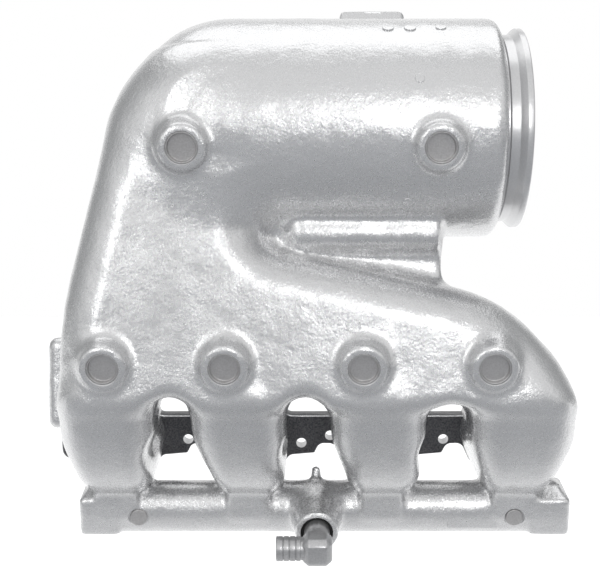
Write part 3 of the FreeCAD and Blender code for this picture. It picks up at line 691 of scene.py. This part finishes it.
def make_casting():
    clay = shape_casting()
    rough_cast(clay)
    hollow_casting(clay)
    points, quads = skin(clay)
    casting = new_object("casting_skin", points, quads)
    face_out(casting)

    # Flange, and the neck and rim of the outlet.
    # The flange's faces take slot 2, the painted shade.
    flange = prism("flange_tool", flange_outline(), 0, FLANGE_THICK, flange_matrix(0, 0, 0), 2)
    bevel(flange, 0.8, angle=50)
    neck = lathe("neck_tool", [
        (60, BARREL_END - 30, 0), (CHAMBER_RADIUS + 12, BARREL_END - 30, 0),
        (NECK_RADIUS - 1.5, BARREL_END - 4, 0),
        (NECK_RADIUS - 1.5, BARREL_END + 2.2, 0.5), (NECK_RADIUS, BARREL_END + 3.0, 0.4),
        (NECK_RADIUS, 159, 1.2), (RIM_RADIUS, 164, 0.8), (RIM_RADIUS, OUTLET_X, 1.2), (60, OUTLET_X, 0)],
        along_x_matrix((0, BARREL_Y, BARREL_Z)), steps=160, material=1)
    combine(casting, [flange, neck] + cast_marks(), "UNION")

    # Everything behind the mating face goes, then the bores.
    behind = prism("mating_plane", [(-240, -60), (240, -60), (240, 60), (-240, 60)], -45, 0,
                   flange_matrix(0, 0, 0), 1)
    combine(casting, [behind], "DIFFERENCE")
    holes = [drill(f"bolt_{x:.0f}", flange_matrix(x, up, 0), BOLT_RADIUS, -2, FLANGE_THICK + 4)
             for x, up in BOLTS]
    mouths = [drill(f"mouth_{port:.0f}", flange_matrix(port, 0, 0), PORT_RADIUS, -2, 22, 64)
              for port in PORTS]
    combine(casting, [gather("holes", holes), gather("mouths", mouths)], "DIFFERENCE")
    # Spot faces round the bolt holes take slot 2, the flange's painted shade.
    seats = []
    for x, up in BOLTS:
        radius = 10.5 if abs(abs(x) - PORT_PITCH) < 1 else 8.5
        reach = 32 if abs(x) > 200 else 125
        seats.append(drill(f"seat_{x:.0f}", flange_matrix(x, up, 0), radius, FLANGE_THICK - SPOT_FACE_DEPTH,
                           reach, 40, 2))
    combine(casting, [gather("seats_left", seats[0::2]), gather("seats_right", seats[1::2])], "DIFFERENCE")

    bores = []
    for node in LOWER_PLUGS + UPPER_PLUGS:
        x = centre_of(node)[0]
        up, out = up_out(centre_of(node))
        face = out + PLUG_DEPTH / 2 + PLUG_SINK
        bores.append(lathe(f"bore_{node}", [
            (0, face - 18, 0), (PLUG_RADIUS, face - 18, 0), (PLUG_RADIUS, face - 0.6, 0),
            (PLUG_RADIUS + 2.0, face + 1.4, 0), (0, face + 1.4, 0)], flange_matrix(x, up, 0), 64, 1))
    for node in ("rail_plug_left", "rail_plug_right"):
        x = centre_of(node)[0]
        bores.append(drill(f"seat_{node}", flange_matrix(x, RAIL_UP, RAIL_OUT), RAIL_PLUG_SEAT_RADIUS,
                           RAIL_RADIUS - 0.5, 40))
    bores.append(drill("counterbore", flange_matrix(0, RAIL_UP, 0), COUNTERBORE_RADIUS,
                       INLET_FACE_OUT - COUNTERBORE_DEPTH, INLET_FACE_OUT + 3, 64))
    for node, sign in (("rail_end_plug_left", -1), ("rail_end_plug_right", 1)):
        low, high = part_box(node)
        end = (low.x if sign < 0 else high.x) / MM
        where = along_x_matrix(flange_point(end, RAIL_UP, RAIL_OUT), sign)
        corners = [(0, -13, 0), (END_PLUG_RADIUS, -13, 0), (END_PLUG_RADIUS, -0.9, 0),
                   (END_PLUG_RADIUS + 1.8, 0.9, 0), (0, 0.9, 0)]
        bores.append(lathe(f"bore_{node}", corners, where, 64, 1))
    sender = centre_of("sender_plug")
    where = Matrix.Translation(Vector((sender[0], sender[1], 0)))
    bores.append(drill("sender_bore", where, SENDER_RADIUS, 352, 372, 48))
    combine(casting, [gather("bores", bores)], "DIFFERENCE")

    outlet = along_x_matrix((0, BARREL_Y, BARREL_Z))
    mouth = lathe("outlet_mouth", [
        (0, 80, 0), (CHAMBER_RADIUS - 0.8, 80, 0), (CHAMBER_RADIUS - 0.8, 100, 0),
        (CHAMBER_RADIUS, OUTLET_X - 1.5, 0), (CHAMBER_RADIUS + 3, OUTLET_X + 1.5, 0),
        (0, OUTLET_X + 1.5, 0)], outlet, 160, 1)
    ways = []
    for k in range(WATER_WAYS):
        angle = 2 * math.pi * (k + 0.5) / WATER_WAYS
        spot = Vector((WATER_WAY_CIRCLE * math.cos(angle), WATER_WAY_CIRCLE * math.sin(angle), 0))
        ways.append(drill(f"way_{k}", outlet @ Matrix.Translation(spot), WATER_WAY_RADIUS,
                          BARREL_END + 3, OUTLET_X + 2, 24))
    combine(casting, [mouth, gather("ways", ways)], "DIFFERENCE")
    shade(casting)
    return casting


# ---------------------------------------------------------------- plugs, elbow and seal
def finish_piece(made, node, angle=35):
    """Give a made piece its place in the assembly."""
    shade(made, angle)
    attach(made, "root")
    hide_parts(node)
    return made


def make_core_plug(node):
    """Pressed cup, open outwards, with a slightly domed floor."""
    x = centre_of(node)[0]
    up, out = up_out(centre_of(node))
    r, inner = PLUG_RADIUS, PLUG_RADIUS - 1.4
    corners = [(0, 2.4, 0), (inner - 0.6, 2.2, 0.6), (inner, 0, 0.4), (r, 0, 0.5), (r, PLUG_DEPTH, 0.6),
               (inner, PLUG_DEPTH, 0.6), (inner - 0.3, 4.0, 0.9), (0, 4.3, 0)]
    return lathe("visual_" + node, corners, flange_matrix(x, up, out - PLUG_DEPTH / 2), 72)


def hexagon(across_flats):
    corner = across_flats / math.sqrt(3)
    return [(corner * math.cos(math.pi * k / 3), corner * math.sin(math.pi * k / 3)) for k in range(6)]


def make_round_plug(node, matrix, radius, depth, socket):
    """Plug whose outer face is local Z = 0, with a hexagon socket."""
    corners = [(0, -depth, 0), (radius, -depth, 0.6), (radius, 0, 1.0), (0, 0, 0)]
    made = lathe("visual_" + node, corners, matrix, 64)
    if socket:
        tool = prism("socket_" + node, hexagon(socket), -depth / 2, 1, matrix)
        countersink = [(0, -0.8, 0), (socket * 0.5, -0.8, 0), (socket * 0.66, 0.2, 0), (0, 0.2, 0)]
        rim = lathe("rim_" + node, countersink, matrix, 48)
        combine(made, [tool, rim], "DIFFERENCE")
    return made


def make_elbow():
    """Forged body with chamfered corners, round shoulder towards the rail, hose tail towards -X."""
    seat = INLET_FACE_OUT - 5.9
    half, flat = 12.0, 7.2
    corners = [(sx * a, sy * b, sz * c) for sx in (-1, 1) for sy in (-1, 1) for sz in (-1, 1)
               for a, b, c in ((half, flat, flat), (flat, half, flat), (flat, flat, half))]
    shape = bmesh.new()
    for corner in corners:
        shape.verts.new(corner)
    bmesh.ops.convex_hull(shape, input=shape.verts)
    bmesh.ops.dissolve_limit(shape, angle_limit=math.radians(1), verts=shape.verts, edges=shape.edges)
    shape.verts.ensure_lookup_table()
    points = [tuple(v.co) for v in shape.verts]
    shape.verts.index_update()
    faces = [[v.index for v in face.verts] for face in shape.faces]
    shape.free()
    middle = flange_matrix(0, RAIL_UP, ELBOW_OUT)
    body = new_object("visual_water_inlet_elbow", place_points(points, middle), faces)
    face_out(body)
    bevel(body, 1.1, angle=20, segments=3)
    shoulder_corners = [(0, seat, 0), (SHOULDER_RADIUS, seat, 0.5), (SHOULDER_RADIUS, ELBOW_OUT - 6, 0),
                        (0, ELBOW_OUT - 6, 0)]
    shoulder = lathe("shoulder_tool", shoulder_corners, flange_matrix(0, RAIL_UP, 0), 64)
    r, way, end = TAIL_RADIUS, ELBOW_WAY_RADIUS, TAIL_END
    tail_corners = [(0, 2, 0), (r - 0.8, 2, 0), (r - 0.8, 13.5, 0.3), (r, 13.5, 0.3)]
    for groove in TAIL_GROOVES:
        tail_corners += [(r, groove, 0.2), (r - 0.9, groove + 0.7, 0.2), (r, groove + 1.4, 0.2)]
    tail_corners += [(r, end - 0.6, 0.3), (r - 0.6, end, 0.3), (way + 0.4, end, 0.3), (way, end - 0.5, 0),
                     (way, 8, 0), (0, 8, 0)]
    axis = along_x_matrix(flange_point(0, RAIL_UP, ELBOW_OUT), -1)
    tail = lathe("tail_tool", tail_corners, axis, 72)
    combine(body, [shoulder, tail], "UNION")
    way_in = [(0, seat - 1, 0), (way, seat - 1, 0), (way, ELBOW_OUT, 0), (0, ELBOW_OUT, 0)]
    way_out = [(0, -3, 0), (way, -3, 3), (way, end - 4, 0), (0, end - 4, 0)]
    ways = [lathe("way_in_tool", way_in, flange_matrix(0, RAIL_UP, 0), 40),
            lathe("way_out_tool", way_out, axis, 40)]
    combine(body, ways, "DIFFERENCE")
    return body


def make_seal():
    """O-ring in the counterbore, under the elbow's shoulder."""
    middle, section = 12.1, 1.25
    rounding = section * 0.99
    corners = [(middle - section, -section, rounding), (middle + section, -section, rounding),
               (middle + section, section, rounding), (middle - section, section, rounding)]
    seat = INLET_FACE_OUT - COUNTERBORE_DEPTH
    return lathe("visual_inlet_o_ring", corners, flange_matrix(0, RAIL_UP, seat + 1.4), 64)


casting = finish_piece(make_casting(), "manifold_casting")
pieces = {"manifold_casting": casting}
for node in LOWER_PLUGS + UPPER_PLUGS:
    pieces[node] = finish_piece(make_core_plug(node), node)
for node in ("rail_plug_left", "rail_plug_right"):
    where = flange_matrix(centre_of(node)[0], RAIL_UP, RAIL_OUT + RAIL_RADIUS + RAIL_PLUG_PROUD)
    pieces[node] = finish_piece(make_round_plug(node, where, RAIL_PLUG_RADIUS, 8.4, 0), node)
for node, sign in (("rail_end_plug_left", -1), ("rail_end_plug_right", 1)):
    low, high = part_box(node)
    end = (low.x if sign < 0 else high.x) / MM - 0.3 * sign
    where = along_x_matrix(flange_point(end, RAIL_UP, RAIL_OUT), sign)
    made = make_round_plug(node, where, END_PLUG_RADIUS, 11.7, END_PLUG_SOCKET)
    pieces[node] = finish_piece(made, node)
top = centre_of("sender_plug")
where = Matrix.Translation(Vector((top[0], top[1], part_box("sender_plug")[1].z / MM)))
made = make_round_plug("sender_plug", where, SENDER_RADIUS, 11.0, SENDER_SOCKET)
pieces["sender_plug"] = finish_piece(made, "sender_plug")
pieces["water_inlet_elbow"] = finish_piece(make_elbow(), "water_inlet_elbow", 30)
pieces["inlet_o_ring"] = finish_piece(make_seal(), "inlet_o_ring")


# ---------------------------------------------------------------- materials
class Nodes:
    """Short names for building a node tree."""

    def __init__(self, name):
        self.material = bpy.data.materials.new(name)
        self.material.use_nodes = True
        self.tree = self.material.node_tree
        self.shader = self.tree.nodes["Principled BSDF"]
        self.place = self.add("ShaderNodeTexCoord").outputs["Object"]

    def add(self, kind, **settings):
        made = self.tree.nodes.new(kind)
        for key, value in settings.items():
            setattr(made, key, value)
        return made

    def link(self, source, target):
        self.tree.links.new(source, target)

    def noise(self, scale, detail=3.0, roughness=0.5, distortion=0.0):
        made = self.add("ShaderNodeTexNoise")
        made.inputs["Scale"].default_value = scale
        made.inputs["Detail"].default_value = detail
        made.inputs["Roughness"].default_value = roughness
        made.inputs["Distortion"].default_value = distortion
        self.link(self.place, made.inputs["Vector"])
        return made.outputs["Fac"]

    def ramp(self, value, low, high, low_out, high_out):
        made = self.add("ShaderNodeMapRange", interpolation_type="SMOOTHSTEP")
        limits = {"From Min": low, "From Max": high, "To Min": low_out, "To Max": high_out}
        for name, number in limits.items():
            made.inputs[name].default_value = number
        self.link(value, made.inputs["Value"])
        return made.outputs["Result"]

    def math(self, operation, a, b):
        made = self.add("ShaderNodeMath", operation=operation)
        for socket, value in zip(made.inputs, (a, b)):
            if isinstance(value, (int, float)):
                socket.default_value = value
            else:
                self.link(value, socket)
        return made.outputs[0]

    def blend(self, share, a, b):
        made = self.add("ShaderNodeMix", data_type="RGBA")
        for index, value in ((0, share), (6, a), (7, b)):
            if isinstance(value, (int, float, tuple)):
                made.inputs[index].default_value = value
            else:
                self.link(value, made.inputs[index])
        return made.outputs[2]

    def bump(self, height, strength, distance, below=None):
        made = self.add("ShaderNodeBump")
        made.inputs["Strength"].default_value = strength
        made.inputs["Distance"].default_value = distance
        self.link(height, made.inputs["Height"])
        if below is not None:
            self.link(below, made.inputs["Normal"])
        return made.outputs["Normal"]


def grey(value, warm=0.0):
    return (value + warm, value, value - warm * 0.8 + 0.006, 1.0)


def silver_paint(name, dark, light, rough, grain, peel, metallic=0.75):
    """Glossy aluminium paint over a cast surface. grain and peel are bump heights in millimetres."""
    nodes = Nodes(name)
    nodes.shader.inputs["Metallic"].default_value = metallic
    nodes.shader.inputs["Coat Weight"].default_value = 0.35
    nodes.shader.inputs["Coat Roughness"].default_value = 0.12
    cloud = nodes.noise(9, 2, 0.4)
    speck = nodes.noise(800, 3, 0.65)
    shift = nodes.math("ADD", nodes.math("MULTIPLY", cloud, 0.3), nodes.math("MULTIPLY", speck, 0.7))
    shade_share = nodes.ramp(shift, 0.36, 0.64, 0, 1)
    nodes.link(nodes.blend(shade_share, dark, light), nodes.shader.inputs["Base Color"])
    patch = nodes.noise(300, 2, 0.5)
    nodes.link(nodes.ramp(patch, 0.30, 0.70, rough - 0.02, rough + 0.03), nodes.shader.inputs["Roughness"])
    # Sand grain lies in patches, the paint's own ripple everywhere.
    sand = nodes.noise(430, 3, 0.62)
    where = nodes.ramp(nodes.noise(26, 2, 0.5), 0.38, 0.66, 0.25, 1.0)
    first = nodes.bump(nodes.math("MULTIPLY", sand, where), 1.0, grain * MM)
    ripple = nodes.noise(190, 2, 0.45, 0.4)
    second = nodes.bump(ripple, 1.0, peel * MM, first)
    fine = nodes.noise(1500, 2, 0.6)
    nodes.link(nodes.bump(fine, 1.0, grain * 0.16 * MM, second), nodes.shader.inputs["Normal"])
    return nodes.material


def rubber(name):
    nodes = Nodes(name)
    nodes.link(nodes.blend(nodes.noise(300, 2), (0.018, 0.018, 0.018, 1), (0.035, 0.035, 0.034, 1)),
               nodes.shader.inputs["Base Color"])
    nodes.link(nodes.ramp(nodes.noise(500, 3), 0.3, 0.7, 0.55, 0.75), nodes.shader.inputs["Roughness"])
    nodes.link(nodes.bump(nodes.noise(1200, 2), 1.0, 0.03 * MM), nodes.shader.inputs["Normal"])
    return nodes.material


cast_paint = silver_paint("cast_paint", grey(0.63), grey(0.69), 0.26, grain=0.42, peel=0.30)
bore_paint = silver_paint("bore_paint", grey(0.60), grey(0.66), 0.30, grain=0.08, peel=0.06)
# The head flange's near-black grey is painted shade for the shadow the runners cast on it; its grain bump is
# the rough cast face.
flange_painted_shade = silver_paint("flange_painted_shade", grey(0.045), grey(0.16), 0.45, grain=0.55, peel=0.25,
                            metallic=0.6)
plug_paint = silver_paint("plug_paint", grey(0.42, 0.010), grey(0.52, 0.006), 0.38, grain=0.20, peel=0.08)
elbow_paint = silver_paint("elbow_paint", grey(0.46), grey(0.56), 0.30, grain=0.06, peel=0.08)
seal_rubber = rubber("seal_rubber")

# Slots: 0 raw casting, 1 machined, 2 head flange in painted shade. Plain pieces have the same paint in all
# three.
PAINTS = {"manifold_casting": (cast_paint, bore_paint, flange_painted_shade),
          "water_inlet_elbow": (elbow_paint,) * 3,
          "inlet_o_ring": (seal_rubber,) * 3}
for node, made in pieces.items():
    for index, material in enumerate(PAINTS.get(node, (plug_paint,) * 3)):
        if index < len(made.data.materials):
            made.data.materials[index] = material

# ---------------------------------------------------------------- camera
camera = bpy.data.objects.new("camera", bpy.data.cameras.new("camera"))
bpy.context.scene.collection.objects.link(camera)
camera.location = (-0.0138, -1.0645, 0.132)
camera.rotation_euler = (math.radians(90), 0, 0)
camera.data.lens = 72
camera.data.sensor_width = 36
bpy.context.scene.camera = camera


# ---------------------------------------------------------------- white studio
world = bpy.data.worlds.new("studio")
bpy.context.scene.world = world
world.use_nodes = True
tree = world.node_tree
ahead = tree.nodes.new("ShaderNodeSeparateXYZ")
tree.links.new(tree.nodes.new("ShaderNodeTexCoord").outputs["Generated"], ahead.inputs[0])
room = tree.nodes.new("ShaderNodeValToRGB")
share = tree.nodes.new("ShaderNodeMapRange")
share.inputs["From Min"].default_value = -1.0
tree.links.new(ahead.outputs["Y"], share.inputs["Value"])
tree.links.new(share.outputs["Result"], room.inputs["Fac"])
room.color_ramp.interpolation = "EASE"
# Grey room on the camera's side, darker at the sides and overhead, white wall behind the object.
STUDIO = ((0.0, 0.94), (0.24, 0.92), (0.42, 0.50), (0.66, 0.30), (0.82, 0.42), (0.90, 1.0))
while len(room.color_ramp.elements) < len(STUDIO):
    room.color_ramp.elements.new(0.5)
for element, (spot, value) in zip(room.color_ramp.elements, STUDIO):
    element.position = spot
    element.color = (value * (0.955 + 0.045 * value), value * (0.985 + 0.015 * value), value, 1)
tree.links.new(room.outputs["Color"], tree.nodes["Background"].inputs["Color"])
bpy.context.scene.view_settings.view_transform = "Standard"

# The floor's colour and glow are painted light: grey in front, turning white and glowing behind the object so
# it runs into the white wall.
FLOOR_FRONT, FLOOR_BACK = -0.25, 0.08
floor_painted_light = Nodes("floor_painted_light")
floor_painted_light.shader.inputs["Roughness"].default_value = 0.9
floor_painted_light.shader.inputs["Emission Color"].default_value = (1, 1, 1, 1)
depth = floor_painted_light.add("ShaderNodeSeparateXYZ")
floor_painted_light.link(floor_painted_light.place, depth.inputs[0])
# Painted glow: the floor emits light, rising from none in front to full behind the object.
floor_painted_light.link(floor_painted_light.ramp(depth.outputs["Y"], FLOOR_FRONT, FLOOR_BACK, 0.0, 0.55),
                 floor_painted_light.shader.inputs["Emission Strength"])
floor_painted_light.link(floor_painted_light.blend(floor_painted_light.ramp(depth.outputs["Y"], FLOOR_FRONT, FLOOR_BACK, 0.0, 1.0),
                                   (0.46, 0.47, 0.49, 1), (0.85, 0.85, 0.85, 1)),
                 floor_painted_light.shader.inputs["Base Color"])
# The part hangs on its head flange, so the floor lies clear below it.
FLOOR_GAP, FLOOR_REACH = 48.0, 9000.0
level = cad_low.z / MM - FLOOR_GAP
floor = new_object("floor", [(sx * FLOOR_REACH, sy * FLOOR_REACH, level)
                             for sx, sy in ((-1, -1), (1, -1), (1, 1), (-1, 1))], [(0, 1, 2, 3)])
floor.data.materials[0] = floor_painted_light.material


def area_light(name, place, target, width, height, power, colour=(1, 1, 1)):
    light = bpy.data.lights.new(name, "AREA")
    light.shape = "RECTANGLE"
    light.size, light.size_y = width, height
    light.energy = power
    light.color = colour
    made = bpy.data.objects.new(name, light)
    made.location = place
    made.rotation_euler = (Vector(target) - Vector(place)).to_track_quat("-Z", "Y").to_euler()
    bpy.context.scene.collection.objects.link(made)


area_light("strip_left", (-0.83, -1.57, 0.50), (-0.12, -0.1, 0.2), 0.13, 1.0, 3.0)
area_light("box_right", (0.29, -1.65, 0.40), (0.08, -0.1, 0.2), 0.19, 0.60, 3.0)
area_light("overhead", (0.0, 0.2, 1.6), (0, 0, 0), 2.0, 1.2, 10)
